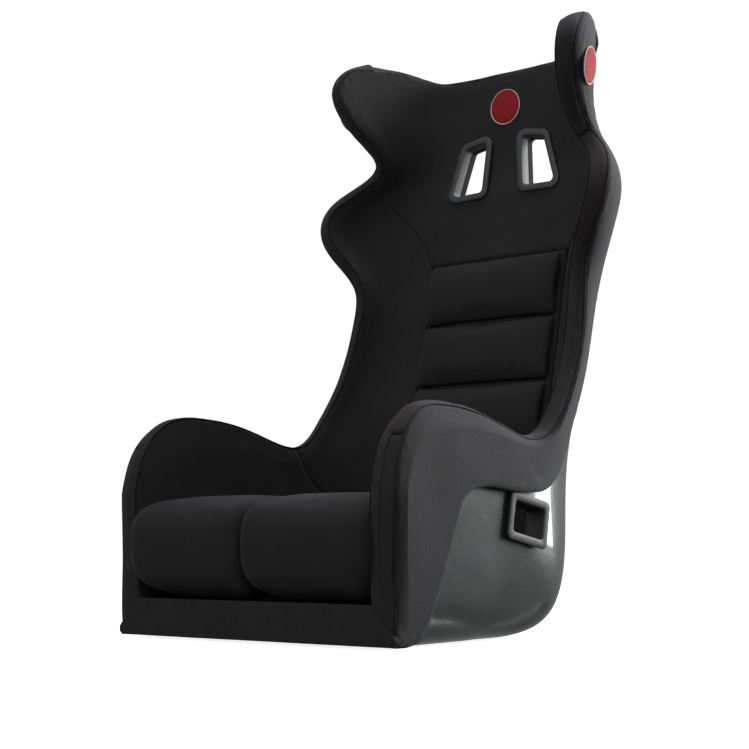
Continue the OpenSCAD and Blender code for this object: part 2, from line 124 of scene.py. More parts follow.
def surface(u, v):
    """Point, outward normal and direction towards the rim at station u and column v."""
    u, v = np.broadcast_arrays(np.asarray(u, float), np.asarray(v, float))
    column = abs(v)
    i = np.clip(np.floor(u).astype(int), 0, LAST - 1)
    j = np.clip(np.floor(column).astype(int), 0, RIM_COL - 1)
    wu, wv, su, sv = weights(u - i), weights(column - j), slopes(u - i), slopes(column - j)
    point, along_u, along_v = (np.zeros(u.shape + (3,)) for _ in range(3))
    for a in range(4):
        for b in range(4):
            c = net[i + a, j + b]
            point += (wu[a] * wv[b])[..., None] * c
            along_u += (su[a] * wv[b])[..., None] * c
            along_v += (wu[a] * sv[b])[..., None] * c
    flip = np.stack([np.where(v < 0, -1.0, 1.0), np.ones_like(u), np.ones_like(u)], -1)
    return point * flip, unit(np.cross(along_v, along_u)) * flip, unit(along_v) * flip


def at(u, v, depth):
    """Point that lies a depth from the outer face, counted towards the sitter."""
    point, normal, _ = surface(u, v)
    return point - normal * np.asarray(depth, float)[..., None]


def pad_in(u):
    return np.interp(u, range(LAST + 1), PAD_IN)


def pad_out(u):
    return -np.interp(u, range(LAST + 1), PAD_OUT)


# %% [markdown]
# The rim pieces sit past the shell's edge. A place on the edge is counted by stations down to the
# front lip, and from there on by columns along the front edge.

# %% Points past the shell's edge
def edge_point(k):
    return surface(np.minimum(k, LAST), RIM_COL - np.maximum(0, k - LAST))[0]


def past_edge(k, e, depth):
    """Point e millimetres past the edge at place k, at a depth towards the sitter."""
    k = np.asarray(k, float)
    turn = np.clip((k - LAST + 2) / 2, 0, 1)
    column = np.minimum(RIM_COL - np.maximum(0, k - LAST), RIM_COL - 0.3 * turn)
    normal = surface(np.minimum(k, LAST - 0.2), column)[1]
    tangent = edge_point(np.minimum(k + 0.02, LAST + RIM_COL)) - edge_point(np.maximum(k - 0.02, 0))
    side = unit(np.cross(tangent, normal))
    shape = np.broadcast(k, e, depth).shape + (1,)
    return (edge_point(k) + side * np.broadcast_to(e, shape[:-1])[..., None]
        - normal * np.broadcast_to(depth, shape[:-1])[..., None])


# Where the padded band along the rim is sewn to its neighbours: [place, past the edge, depth]
SEAM_IN = np.array([(0, 2, 22), (1.4, 3, 24), (2.5, 7, 21), (3.7, 7, 17), (4.4, 5, 17), (5, 10, 14),
    (6.3, 7, 20), (7.7, 9, 18), (9, 12, 13.5), (10.4, 9.5, 17), (12, 6, 18), (13.6, 3, 18),
    (16.5, 2, 19), (18.3, 4, 22), (19.2, 12, 29), (20, 14, 31), (21, 14, 29), (24, 14, 27)])
SEAM_OUT = np.array([(0, 1, -8), (3, 0, -9), (4.2, 0, -7), (5, 0, -9), (7, -1, -10), (8.2, 1, -8),
    (9.5, 0, -9), (12, -2, -8), (13.6, -2, -4), (15, -3, -4), (17, -2, -4), (18.4, 2, -7),
    (19.3, 11, -7), (20, 14, -7), (21, 14, -7), (22, 14, -14), (24, 14, -14)])


def seam(table, k):
    """Point on a rim seam at place k, eased between the seam's listed places."""
    fine = np.linspace(0, 24, 481)
    soft = np.ones(9) / 9
    e, depth = (np.convolve(np.pad(np.interp(fine, table[:, 0], table[:, c]), 4, mode="edge"), soft,
        "valid") for c in (1, 2))
    return past_edge(k, np.interp(k, fine, e), np.interp(k, fine, depth))


print("rim band width at the waist:", np.round(np.linalg.norm(
    seam(SEAM_IN, 10.0) - seam(SEAM_OUT, 10.0)), 1), "mm")

# %% [markdown]
# ## From grids of points to closed meshes
# Sewn panels are grids of points. A grid is rounded down along its open sides, as foam is under a
# cover that a seam pulls in, and a second grid behind it closes the piece. The right half mirrors
# the left one, as the real patterns do.


# %% Making an object from points and faces
def to_row(points):
    return (np.asarray(points, float).reshape(-1, 3) - (0, MID_Y, FLOOR_Z)) * 0.001


def mesh_piece(name, points, faces, angle=40):
    mesh = bpy.data.meshes.new(name)
    mesh.from_pydata(to_row(points).tolist(), [], [tuple(int(i) for i in f) for f in faces])
    mesh.validate()
    mesh.update()
    piece = bpy.data.objects.new(name, mesh)
    bpy.context.scene.collection.objects.link(piece)
    outward(piece)
    smooth(piece, angle)
    return piece


def outward(piece):
    """Turn the faces so that they all face out."""
    bm = bmesh.new()
    bm.from_mesh(piece.data)
    bmesh.ops.recalc_face_normals(bm, faces=bm.faces)
    if bm.calc_volume(signed=True) < 0:
        bmesh.ops.reverse_faces(bm, faces=bm.faces)
    bm.to_mesh(piece.data)
    bm.free()


def smooth(piece, angle=40):
    piece.data.shade_smooth()
    piece.data.set_sharp_from_angle(angle=math.radians(angle))


def slab_faces(rows, cols):
    """Faces of a closed slab: a top grid, then a bottom grid of the same size."""
    grid = np.arange(rows * cols).reshape(rows, cols)
    low = grid + rows * cols
    quads = [np.stack([g[:-1, :-1], g[:-1, 1:], g[1:, 1:], g[1:, :-1]], -1).reshape(-1, 4)
        for g in (grid, low[:, ::-1])]
    ring = np.concatenate([grid[0, :-1], grid[:-1, -1], grid[-1, :0:-1], grid[:0:-1, 0]])
    after, n = np.roll(ring, -1), rows * cols
    quads.append(np.stack([ring, ring + n, after + n, after], -1))
    return np.concatenate(quads)


def slab(name, top, bottom, angle=40):
    rows, cols = top.shape[:2]
    return mesh_piece(name, np.concatenate([top.reshape(-1, 3), bottom.reshape(-1, 3)]),
        slab_faces(rows, cols), angle)


def mirrored(piece, name):
    """A copy on the sitter's right."""
    twin = piece.copy()
    twin.data = piece.data.copy()
    twin.name = twin.data.name = name
    twin.data.transform(((-1, 0, 0, 0), (0, 1, 0, 0), (0, 0, 1, 0), (0, 0, 0, 1)))
    twin.data.flip_normals()
    bpy.context.scene.collection.objects.link(twin)
    return twin


# %% Rounding a panel down to its seams
def spaced(n, crowd=0.8):
    """n + 1 shares from 0 to 1, closer together near both ends."""
    s = np.linspace(0, 1, n + 1)
    return s - crowd * np.sin(2 * math.pi * s) / (2 * math.pi)


def facing(grid, towards):
    normal = unit(np.cross(np.gradient(grid, axis=0), np.gradient(grid, axis=1)))
    return normal * (1 if (normal * towards).sum(-1).mean() > 0 else -1)


def from_sides(grid, sides):
    """Distance in millimetres of each point from the nearest open side."""
    across = np.cumsum(np.pad(np.linalg.norm(np.diff(grid, axis=1), axis=-1), ((0, 0), (1, 0))), 1)
    down = np.cumsum(np.pad(np.linalg.norm(np.diff(grid, axis=0), axis=-1), ((1, 0), (0, 0))), 0)
    far = {"first_col": across, "last_col": across[:, -1:] - across, "first_row": down,
        "last_row": down[-1:] - down}
    share = sum(np.exp(-far[s] / 2.5) for s in sides)
    return np.maximum(0, -2.5 * np.log(np.maximum(share, 1e-12)))


def ripple(points, wave, seed, ways=7):
    """Soft noise from a few seeded sine waves, about -1 to 1."""
    rng = np.random.default_rng(seed)
    total = 0
    for _ in range(ways):
        way = unit(rng.normal(size=3))
        length = wave * rng.uniform(0.7, 1.6)
        total = total + np.sin(points @ way * 2 * math.pi / length + rng.uniform(0, 6.3))
    return total / math.sqrt(ways)


ALL_SIDES = ("first_col", "last_col", "first_row", "last_row")


def upholstered(name, grid, towards, thickness, sides=ALL_SIDES, drop=3.0, radius=8.0, pucker=0.5,
        seed=1, angle=50):
    """Closed padded piece: the grid rounded down at its open sides, puckered along the seams."""
    normal = facing(grid, towards)
    away = from_sides(grid, sides)
    q = np.clip(1 - away / radius, 0, 1)
    fall = drop * (1 - np.sqrt(1 - q * q))
    near = np.exp(-((away - radius * 0.9) / (radius * 0.7)) ** 2)
    fall = fall + pucker * near * ripple(grid, 15, seed) + 0.35 * ripple(grid, 70, seed + 50)
    top = grid - normal * fall[..., None]
    bottom = grid - normal * (np.broadcast_to(thickness, away.shape) + drop)[..., None]
    return slab(name, top, bottom, angle)


def outline_at(rows, u):
    """First and last column of a panel at station u, eased between its listed rows."""
    rows = np.asarray(rows, float)
    fine = np.linspace(rows[0, 0], rows[-1, 0], 400)
    width = max(1, int(0.5 / (fine[1] - fine[0])))
    soft = np.hanning(2 * width + 3)[1:-1]
    soft /= soft.sum()
    found = []
    for c in (1, 2):
        line = np.interp(fine, rows[:, 0], rows[:, c])
        before = 2 * line[0] - line[width:0:-1]
        after = 2 * line[-1] - line[-2:-width - 2:-1]
        line = np.convolve(np.concatenate([before, line, after]), soft, "valid")
        found.append(np.interp(u, fine, line))
    return found


# %% [markdown]
# ## Finishes
# Every finish is made of nodes. Numbers that change over a surface are written as plain
# expressions: a wrapped socket adds a Math node for each operator, so 1 - mask works. Object
# coordinates are in metres here, so a weave has its real size on every piece without unwrapping.


# %% Node expressions
class Wire:
    """An output socket that adds Math nodes when it is used in an expression."""

    def __init__(self, paint, socket):
        self.paint, self.socket = paint, socket

    def _math(self, operation, *values):
        return self.paint.node("ShaderNodeMath", {"operation": operation}, dict(enumerate(values)))

    def __add__(self, other):
        return self._math("ADD", self, other)

    def __sub__(self, other):
        return self._math("SUBTRACT", self, other)

    def __rsub__(self, other):
        return self._math("SUBTRACT", other, self)

    def __mul__(self, other):
        return self._math("MULTIPLY", self, other)

    def __truediv__(self, other):
        return self._math("DIVIDE", self, other)

    def __pow__(self, other):
        return self._math("POWER", self, other)

    __radd__, __rmul__ = __add__, __mul__


class Paint:
    """A node material that is built from expressions."""

    def __init__(self, name):
        self.material = bpy.data.materials.new(name)
        self.material.use_nodes = True
        self.tree = self.material.node_tree
        self.shader = self.tree.nodes["Principled BSDF"]

    def node(self, kind, settings=None, inputs=None, output=0):
        node = self.tree.nodes.new(kind)
        for name, value in (settings or {}).items():
            setattr(node, name, value)
        for name, value in (inputs or {}).items():
            self.feed(node.inputs[name], value)
        return Wire(self, node.outputs[output])

    def feed(self, socket, value):
        if isinstance(value, Wire):
            self.tree.links.new(value.socket, socket)
        else:
            socket.default_value = value

    def place(self, scale=(1, 1, 1)):
        where = self.node("ShaderNodeTexCoord", output="Object")
        return self.node("ShaderNodeMapping", {}, {"Vector": where, "Scale": scale})

    def noise(self, scale, detail=2, where=None, rough=0.5):
        return self.node("ShaderNodeTexNoise", {}, {"Vector": where or self.place(), "Scale": scale,
            "Detail": detail, "Roughness": rough})

    def cells(self, scale, where=None):
        return self.node("ShaderNodeTexVoronoi", {}, {"Vector": where or self.place(),
            "Scale": scale}, "Distance")

    def ramp(self, value, low, high):
        return self.node("ShaderNodeMapRange", {}, {"Value": value, "From Min": low,
            "From Max": high})

    def mix(self, share, dark, light):
        """A colour between two; the node has its factor at input 0 and the colours at 6 and 7."""
        return self.node("ShaderNodeMix", {"data_type": "RGBA"},
            {0: share, 6: dark + (1,), 7: light + (1,)}, 2)

    def bump(self, height, distance):
        return self.node("ShaderNodeBump", {}, {"Height": height, "Distance": distance,
            "Strength": 1.0})

    def finish(self, **sockets):
        for name, value in sockets.items():
            name = name.replace("_", " ").title().replace("Ior", "IOR")
            value = value + (1,) if isinstance(value, tuple) and len(value) == 3 else value
            self.feed(self.shader.inputs[name], value)
        return self.material


# %% [markdown]
# ### Knitted velour
# The covers are a black warp-knit with a short nap. It shows as a fine grain about a millimetre
# across, a faint cloudiness where the nap lies over, and a pale sheen where the cloth turns away.
# Two scales of cells and noise make the grain, which also lifts the surface in a bump.


# %% The three cloths, and the thread that also paints shade in the seam valleys
def cloth(name, dark, light, grain, nap, bump, sheen, rough=0.82):
    paint = Paint(name)
    knit = paint.cells(grain)
    fuzz = paint.noise(grain * 0.45, 3)
    cloud = paint.noise(14, 3)
    streak = paint.noise(90, 2, paint.place((1, 1, 0.3)))
    lie = paint.ramp(cloud * 0.65 + streak * 0.35, 0.3, 0.7)
    shade = paint.ramp(lie * nap + fuzz * 0.5 + knit * 0.45, 0.2, 1.0)
    return paint.finish(base_color=paint.mix(shade, dark, light),
        roughness=paint.ramp(lie, -4, 5) * 0.25 + (rough - 0.12),
        normal=paint.bump(fuzz * 0.6 + knit * 0.6, bump), sheen_weight=sheen, sheen_roughness=0.45,
        sheen_tint=(0.75, 0.77, 0.85), specular_ior_level=0.22)


COVER = cloth("knit_velour", (0.0085, 0.0085, 0.0095), (0.019, 0.019, 0.0205), 900, 0.5, 0.0007,
    0.12)
CUSHION = cloth("cushion_velour", (0.008, 0.008, 0.0085), (0.0165, 0.0165, 0.0175), 1000, 0.4,
    0.0005, 0.1)
GRIP = cloth("grip_cloth", (0.0095, 0.0066, 0.0074), (0.021, 0.0148, 0.0165), 700, 0.35, 0.0009,
    0.1, 0.72)

# Near-black, darker than the cloth: partly the real black thread, partly painted shade laid into the
# seam valleys.
THREAD_AND_SEAM_SHADE = cloth("seam_thread_and_shade", (0.002, 0.002, 0.002), (0.006, 0.006, 0.006), 1400, 0.2, 0.0002,
    0.02)
print("cloths:", [m.name for m in (COVER, CUSHION, GRIP, THREAD_AND_SEAM_SHADE)])

# %% [markdown]
# ### Gelcoat, plastics, steel, tape and badge
# The bare shell is dark grey gelcoat: a smooth clear layer over glass mat, whose fibres print
# through faintly. The bezels are moulded plastic with a fine spark-eroded grain, and the sleeves
# behind them a duller one. The discs are stitched in red thread with a pale edge.


# %% The hard finishes
def gelcoat():
    paint = Paint("dark_gelcoat")
    cloud = paint.ramp(paint.noise(9, 3), 0.3, 0.7)
    mat = paint.noise(160, 4, paint.place((1, 0.35, 1)), 0.65)
    return paint.finish(
        base_color=paint.mix(cloud * 0.7 + mat * 0.3, (0.026, 0.032, 0.031), (0.055, 0.066, 0.064)),
        roughness=paint.ramp(cloud, -3, 6) * 0.2 + 0.2, metallic=0.35,
        normal=paint.bump(mat * 0.4 + paint.noise(26, 2), 0.0005), coat_weight=1.0,
        coat_roughness=0.07, specular_ior_level=0.5)


def moulded(name, dark, light, rough, shine=0.45):
    paint = Paint(name)
    grain, wear = paint.noise(2200, 2), paint.ramp(paint.noise(30, 4), 0.35, 0.75)
    return paint.finish(base_color=paint.mix(wear, dark, light), roughness=wear * 0.12 + rough,
        normal=paint.bump(grain, 0.00012), specular_ior_level=shine)


def zinc():
    paint = Paint("zinc_steel")
    spangle = paint.cells(500)
    return paint.finish(base_color=paint.mix(spangle, (0.5, 0.5, 0.48), (0.66, 0.66, 0.65)),
        metallic=1.0, roughness=spangle * 0.25 + 0.28, normal=paint.bump(paint.noise(900), 0.0001))


def hook():
    paint = Paint("hook_tape")
    loops = paint.cells(700)
    return paint.finish(base_color=paint.mix(loops, (0.006, 0.006, 0.006), (0.035, 0.035, 0.036)),
        roughness=0.7, normal=paint.bump(loops, 0.0012))


def red_disc():
    paint = Paint("red_disc")
    thread = paint.node("ShaderNodeTexWave", {"bands_direction": "Z"}, {"Vector": paint.place(),
        "Scale": 420, "Distortion": 2.0, "Detail": 2.0}, 1)
    return paint.finish(base_color=paint.mix(thread, (0.26, 0.008, 0.012), (0.46, 0.016, 0.024)),
        roughness=0.6, normal=paint.bump(thread, 0.0004), specular_ior_level=0.2)


GELCOAT, ZINC, HOOK, RED = gelcoat(), zinc(), hook(), red_disc()
GREY = moulded("grey_plastic", (0.038, 0.039, 0.042), (0.056, 0.058, 0.061), 0.5)
LINER = moulded("matt_liner", (0.01, 0.0102, 0.011), (0.015, 0.0155, 0.0165), 0.8, 0.12)
PALE = moulded("pale_thread", (0.42, 0.42, 0.43), (0.58, 0.58, 0.59), 0.7, 0.2)
BLACK = moulded("black_plastic", (0.015, 0.016, 0.017), (0.026, 0.027, 0.029), 0.5)
print("hard finishes:", [m.name for m in (GELCOAT, ZINC, HOOK, RED, GREY, LINER, PALE, BLACK)])


# %% Putting a piece in the frame: its finish, its body, and the solids it hides
def stands(piece, material, slot_name, *nodes, body="seat", fill=None):
    piece.data.materials.clear()
    piece.data.materials.append(material)
    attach(piece, body)
    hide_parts(*nodes)
    return piece


def both(piece, material, slot_name, *nodes, fill=None):
    """The piece on the sitter's left and its mirror on the right."""
    base = piece.name
    piece.name = base + "_left"
    twin = mirrored(piece, base + "_right")
    stands(piece, material, slot_name, *[n + "_left" for n in nodes], fill=fill)
    stands(twin, material, slot_name, *[n + "_right" for n in nodes], fill=fill)
    return piece, twin


# %% [markdown]
# ## The shell
# The real shell is laid up in a mould. Here it is a fine grid on the shared surface, five
# millimetres thick, with the belt slots and the insert holes cut through. A shallow valley runs
# along each lower side, which stiffens the laminate.

# %% Slot outlines
SLOT = np.array([(32, 0), (118, -2), (87, 98), (23, 109)], float)
SLOT_Y, SLOT_Z, SLOT_TILT, SLOT_DEPTH = 571, 692, math.radians(4.5), 28
LAP = np.array([(239, 132), (330, 115), (341, 181), (251, 198)], float)
BEZEL_W, BEZEL_T, LAP_FLANGE, LAP_X, SLEEVE = 11, 4, 12, 246, 2.5
CORNER_STEPS = 8


def rounded(outline, grow, radius):
    """The outline moved out by some millimetres, with corners of a radius."""
    n, points = len(outline), []
    edges = [unit(outline[(i + 1) % n] - outline[i]) for i in range(n)]
    for i in range(n):
        a, b = edges[i - 1], edges[i]
        na, nb = np.array([a[1], -a[0]]), np.array([b[1], -b[0]])
        centre = outline[i] + (na + nb) * (grow - radius) / (1 + na @ nb)
        start, end = math.atan2(na[1], na[0]), math.atan2(nb[1], nb[0])
        turn = (end - start) % (2 * math.pi)
        for s in np.linspace(0, 1, CORNER_STEPS):
            points.append(centre + radius * np.array([math.cos(start + turn * s),
                math.sin(start + turn * s)]))
    return np.array(points)


def in_slot(flat, rise):
    """Shoulder slot outline points, raised forwards off its foot."""
    c, s = math.cos(math.pi / 2 - SLOT_TILT), math.sin(math.pi / 2 - SLOT_TILT)
    return np.stack([flat[:, 0], SLOT_Y + flat[:, 1] * c - rise * s,
        SLOT_Z + flat[:, 1] * s + rise * c], -1)


def in_lap(flat, x):
    return np.stack([np.full(len(flat), float(x)), flat[:, 0], flat[:, 1]], -1)


def lofted(name, rings, angle=40, loop=True):
    """Closed mesh through rings of points: joined end to end, or capped."""
    n, m = len(rings), len(rings[0])
    faces = []
    for r in range(n if loop else n - 1):
        a, b = r * m, (r + 1) % n * m
        faces += [(a + i, a + (i + 1) % m, b + (i + 1) % m, b + i) for i in range(m)]
    if not loop:
        faces += [tuple(range(m)), tuple(range((n - 1) * m, n * m))[::-1]]
    return mesh_piece(name, np.concatenate(rings), faces, angle)


# %% Cutting
def cut(piece, *tools):
    for tool in tools:
        step = piece.modifiers.new("cut", "BOOLEAN")
        step.operation, step.object, step.solver = "DIFFERENCE", tool, "EXACT"
    shape = piece.evaluated_get(bpy.context.evaluated_depsgraph_get())
    mesh = bpy.data.meshes.new_from_object(shape)
    piece.modifiers.clear()
    old, piece.data = piece.data, mesh
    mesh.name = piece.name
    bpy.data.meshes.remove(old)
    for tool in tools:
        bpy.data.objects.remove(tool)
    smooth(piece)


CUT_R = 6


def slot_tools(grow):
    tools = [lofted("slot_tool", [in_slot(rounded(SLOT, grow, CUT_R), r) for r in (-48, 20)],
        loop=False)]
    return tools + [mirrored(tools[0], "slot_tool_right")]


def lap_tools(grow):
    tools = [lofted("lap_tool", [in_lap(rounded(LAP, grow, CUT_R), x) for x in (190, 300)],
        loop=False)]
    return tools + [mirrored(tools[0], "lap_tool_right")]


# %% The shell's skin, with its valley
VALLEY = np.array([(92, 30), (131, 29), (195, 15), (240, 6), (286, 9), (333, 21), (358, 34)],
    float)
EDGE_COL = 3.98
INSERT_X, INSERT_Y, INSERT_HOLE_R = 140, 120, 7.2


def from_line(points, line):
    """Distance of flat points from a polyline."""
    best = np.full(points.shape[:-1], 1e9)
    for a, b in zip(line[:-1], line[1:]):
        t = np.clip(((points - a) @ (b - a)) / ((b - a) @ (b - a)), 0, 1)
        best = np.minimum(best, np.linalg.norm(points - a - t[..., None] * (b - a), axis=-1))
    return best


rows, cols = 170, 70
columns = np.concatenate([-np.linspace(EDGE_COL, 0, cols, endpoint=False),
    np.linspace(0, EDGE_COL, cols + 1)])
u, v = np.meshgrid(np.linspace(0.3, LAST, rows), columns, indexing="ij")
point, normal, _ = surface(u, v)
dip = 4.5 * np.exp(-(from_line(point[..., 1:], VALLEY) / 10) ** 2) * (abs(point[..., 0]) > 120)
lip = np.clip((75 - point[..., 1]) / 70, 0, 1) * np.clip((20 - point[..., 2]) / 20, 0, 1)
point[..., 2] += 6.5 * lip
skin = point - normal * dip[..., None]
shell = slab("shell_skin", skin, point - normal * np.maximum(SHELL_T, dip + 2)[..., None])
holes = slot_tools(SLEEVE - BEZEL_W + 0.3) + lap_tools(SLEEVE - LAP_FLANGE + 0.3)
round_hole = np.linspace(0, 2 * math.pi, 32, endpoint=False)
for x in (-INSERT_X, INSERT_X):
    for y in (MID_Y - INSERT_Y, MID_Y + INSERT_Y):
        ring = np.array([(x + INSERT_HOLE_R * math.cos(a), y + INSERT_HOLE_R * math.sin(a))
            for a in round_hole])
        holes.append(lofted("hole_tool", [np.column_stack([ring, np.full(len(ring), float(z))])
            for z in (-20, 20)], loop=False))
cut(shell, *holes)
stands(shell, GELCOAT, "gelcoat_shell", "shell")
print("shell:", len(shell.data.polygons), "faces")

# %% [markdown]
# ## The inner covers
# Each inner cover is foam with a scrim-backed cloth glued over it. It runs from a seam in the back
# out to the seam along the rim. The part near the rim leaves the shared surface in a straight line
# to that seam.


# %% Building a cover between two columns and the rim
def cover_grid(rows, nu, nv, depth_of, rim_seam=None, last_v=3.75, share=0.9, front=0.0):
    """Points of a cover, whose last columns run to a seam on the rim where one is given.

    A front share makes its last rows run to the same seam along the front edge.
    """
    us = rows[0][0] + (rows[-1][0] - rows[0][0]) * spaced(nu)
    w = spaced(nv)
    first, end = outline_at(rows, us)
    if rim_seam is None:
        v = first[:, None] + (end - first)[:, None] * w
        return at(us[:, None], v, depth_of(us[:, None], v))
    inside = np.minimum(w / share, 1)
    v = first[:, None] + (np.maximum(last_v, first + 0.03) - first)[:, None] * inside
    grid = at(us[:, None], v, depth_of(us[:, None], v))
    over = np.clip((w - share) / (1 - share), 0, 1)[:, None]
    goal = seam(rim_seam, us)[:, None]
    grid = grid + (goal - grid) * over
    if front:
        column = first[-1] + (RIM_COL - first[-1]) * w
        goal = seam(rim_seam, LAST + RIM_COL - column)[None]
        over = np.clip((np.arange(nu + 1) / nu - 1 + front) / front, 0, 1)[:, None, None]
        grid = grid + (goal - grid) * over ** 1.5
    return grid


def inner_depth(u, v):
    return pad_in(u) + 0 * v


INNER_T = 13
HEAD_ROWS = [(0, 4, 4), (4.35, 4, 4), (5.2, 3.13, 3.13), (6.4, 2.23, 2.23), (7.6, 1.63, 1.63),
    (8.6, 1.3, 1.3)]
SIDE_ROWS = [(4.39, 3.93, 4), (5.2, 3.13, 4), (6.4, 2.23, 4), (7.6, 1.63, 4), (8.6, 1.3, 4),
    (13.62, 1.3, 4)]
THIGH_ROWS = [(13.62, 1.3, 4), (15.1, 1.42, 4), (16.5, 1.68, 4), (19.9, 1.74, 4)]


# %% The head cover, one piece across both wings
def head_grid():
    us = 0.12 + 8.48 * spaced(100, 0.5)
    half = spaced(110, 0.55) * 2 - 1
    reach = outline_at([(u, a, a) for u, a, _ in HEAD_ROWS], us)[0]
    reach = np.where(us < 4.35, 4.0, reach)
    wing = np.clip((4.55 - us) / 0.3, 0, 1)[:, None]
    inside = np.clip(abs(half) / (1 - 0.08 * wing), 0, 1)
    v = inside * (reach[:, None] - 0.25 * wing)
    grid = at(us[:, None], v, pad_in(us)[:, None] + 0 * v)
    over = np.clip((abs(half) - 0.92) / 0.08, 0, 1) * wing
    goal = seam(SEAM_IN, us)[:, None]
    grid = grid + (goal - grid) * over[..., None]
    grid[..., 0] *= np.sign(half)
    return grid


head = upholstered("head_cover_pad", head_grid(), np.array([0, -1, 0.0]), INNER_T, drop=3.5,
    radius=9, seed=3)
cut(head, *slot_tools(SLEEVE - BEZEL_W + 0.6))
stands(head, COVER, "cover_fabric", "head_cover", "head_foam", fill=0.7)
print("head cover:", len(head.data.polygons), "faces")

# %% The side and thigh covers
side = upholstered("side_pad", cover_grid(SIDE_ROWS, 90, 60, inner_depth, SEAM_IN),
    np.array([-1, -1, 0.0]), INNER_T, drop=3.5, radius=9, seed=5)
both(side, COVER, "cover_fabric", "side_cover", "side_foam", fill=0.7)
thigh = upholstered("thigh_pad", cover_grid(THIGH_ROWS, 80, 60, inner_depth, SEAM_IN,
    front=0.12), np.array([-1, 0, 0.5]), INNER_T, drop=3.5, radius=9, seed=7)
tools = lap_tools(SLEEVE - LAP_FLANGE + 0.6)
bpy.data.objects.remove(tools.pop())
cut(thigh, *tools)
both(thigh, COVER, "cover_fabric", "thigh_cover", "thigh_foam", fill=0.7)

# %% The panel behind the back cushion, and the level pad under the seat cushions
back = upholstered("back_panel", cover_grid([(8.62, -1.26, 1.26), (15.1, -1.26, 1.26)], 60, 30,
    inner_depth), np.array([0, -1, 0.0]), INNER_T, drop=3, radius=7, seed=9)
stands(back, COVER, "cover_fabric", "back_cover", "back_foam", fill=0.6)
BASE = np.array([(-196, 45), (196, 45), (196, 240), (180, 310), (150, 375), (-150, 375),
    (-180, 310), (-196, 240)], float)
BASE_TOP, BASE_R = 58.6, 14


def base_ring(grow, drop):
    flat = rounded(BASE, grow, BASE_R + min(0, grow))
    return np.column_stack([flat, np.full(len(flat), BASE_TOP - drop)])


base = lofted("seat_base_pad", [base_ring(grow, drop) for grow, drop in ((-12, 0), (-6, 0.3),
    (-3, 1.2), (-1, 3), (0, 6), (0, 26), (-14, 42), (-30, 52))], loop=False)
stands(base, COVER, "cover_fabric", "seat_base_cover", "seat_base_foam", fill=0.6)


# %% [markdown]
# ## The rim
# A separate band is sewn along the whole edge, where hands and harness rub. It is crowned across
# its width, and the patches at the shoulder and the thigh are a harder-wearing cloth.


# %% Rim bands
def band_grid(k0, k1, n, k2=None, crown=3.0, across=16):
    t = spaced(across, 0.6)
    stop = k1 * (1 - t) + (k2 or k1) * t
    k = k0 + (stop[None] - k0) * spaced(n, 0.75)[:, None]
    inner_edge, outer_edge = seam(SEAM_IN, k), seam(SEAM_OUT, k)
    middle = inner_edge * (1 - t[None, :, None]) + outer_edge * t[None, :, None]
    past = past_edge(k, 10, 4) - past_edge(k, 0, 4)
    return middle + facing(middle, past) * (crown * np.sin(math.pi * t))[None, :, None], past


def band(name, k0, k1, n, material, slot_name, node, k2=None, crown=3.0, seed=11):
    grid, past = band_grid(k0, k1, n, k2, crown)
    piece = upholstered(name, grid, past, 5, drop=3, radius=7, pucker=0.15, seed=seed)
    return both(piece, material, slot_name, node, fill=0.75)


band("head_band", 0.02, 4.36, 90, COVER, "cover_fabric", "head_rim", crown=5)
band("shoulder_band", 4.4, 8.62, 80, GRIP, "grip_fabric", "shoulder_rim", seed=13)
band("waist_band", 8.65, 16.42, 130, COVER, "cover_fabric", "waist_rim", seed=15)
band("thigh_band", 16.45, 18.92, 60, GRIP, "grip_fabric", "thigh_rim", seed=17)
band("bolster_band", 18.95, 21.5, 80, COVER, "cover_fabric", "bolster_front", k2=21.97, crown=1.5,
    seed=19)


# %% [markdown]
# The seams beside the band are sewn with black thread. A thin round cord, darker than the cloth,
# lies in the valley between two pieces along the same seam line: its dark line is partly the
# stitching, partly painted shade.


# %% Seam cords: black thread, and painted shade in the seam valleys
SINK, CORD_R = 1.3, 1.1


def seam_shade_cord(name, table, k0, k1, way):
    """A cord along a seam, partly black thread and partly painted shade; way is 1 where the valley
    opens towards the sitter and -1 outside.
    """
    k = np.linspace(k0, k1, 300)
    line = seam(table, k)
    along = unit(np.gradient(line, axis=0))
    out = past_edge(k, 1, 0) - past_edge(k, 0, 0)
    up = unit(np.cross(along, out))
    inward = past_edge(k, 0, 1) - past_edge(k, 0, 0)
    line = line - SINK * unit(out + way * inward)
    round_cord = [line + CORD_R * (math.cos(a) * unit(out) + math.sin(a) * up)
        for a in np.linspace(0, 2 * math.pi, 8, endpoint=False)]
    rings = np.stack(round_cord, 1)
    return both(lofted(name, rings, 60, loop=False), THREAD_AND_SEAM_SHADE, "cover_fabric")


# Dark cords along both rim seams: partly thread, partly painted shade in the valleys.
seam_shade_cord("inner_seam_shade_cord", SEAM_IN, 0.1, 21.4, 1)
seam_shade_cord("outer_seam_shade_cord", SEAM_OUT, 0.1, 21.9, -1)

# %% The fold over the top of the head
FOLD_END = 3.97


def top_fold():
    """Half-round strip over the shell's top edge, tucked down a little at both ends."""
    v = np.linspace(-FOLD_END, FOLD_END, 121)
    point, normal, _ = surface(0, v)
    arc = np.linspace(0, 1, 15)
    deep, thin = pad_in(0) + 0.5, pad_out(0)
    depth = deep + (thin - deep) * (1 - np.cos(math.pi * arc)) / 2
    rise = -6.5 + 8 * np.sin(math.pi * arc) ** 0.6
    tuck = 2 * np.clip((abs(v) - 3.6) / (FOLD_END - 3.6), 0, 1) ** 2
    lift = np.array([0, -0.15, 1.0])
    rise = rise[None] - tuck[:, None]
    return point[:, None] - normal[:, None] * depth[None, :, None] + lift * rise[..., None]


fold = upholstered("top_fold", top_fold(), np.array([0, 0, 1.0]), 4,
    sides=("first_col", "last_col"), drop=2, radius=5, pucker=0.3, seed=21)
stands(fold, COVER, "cover_fabric", "head_top_rim", fill=0.7)

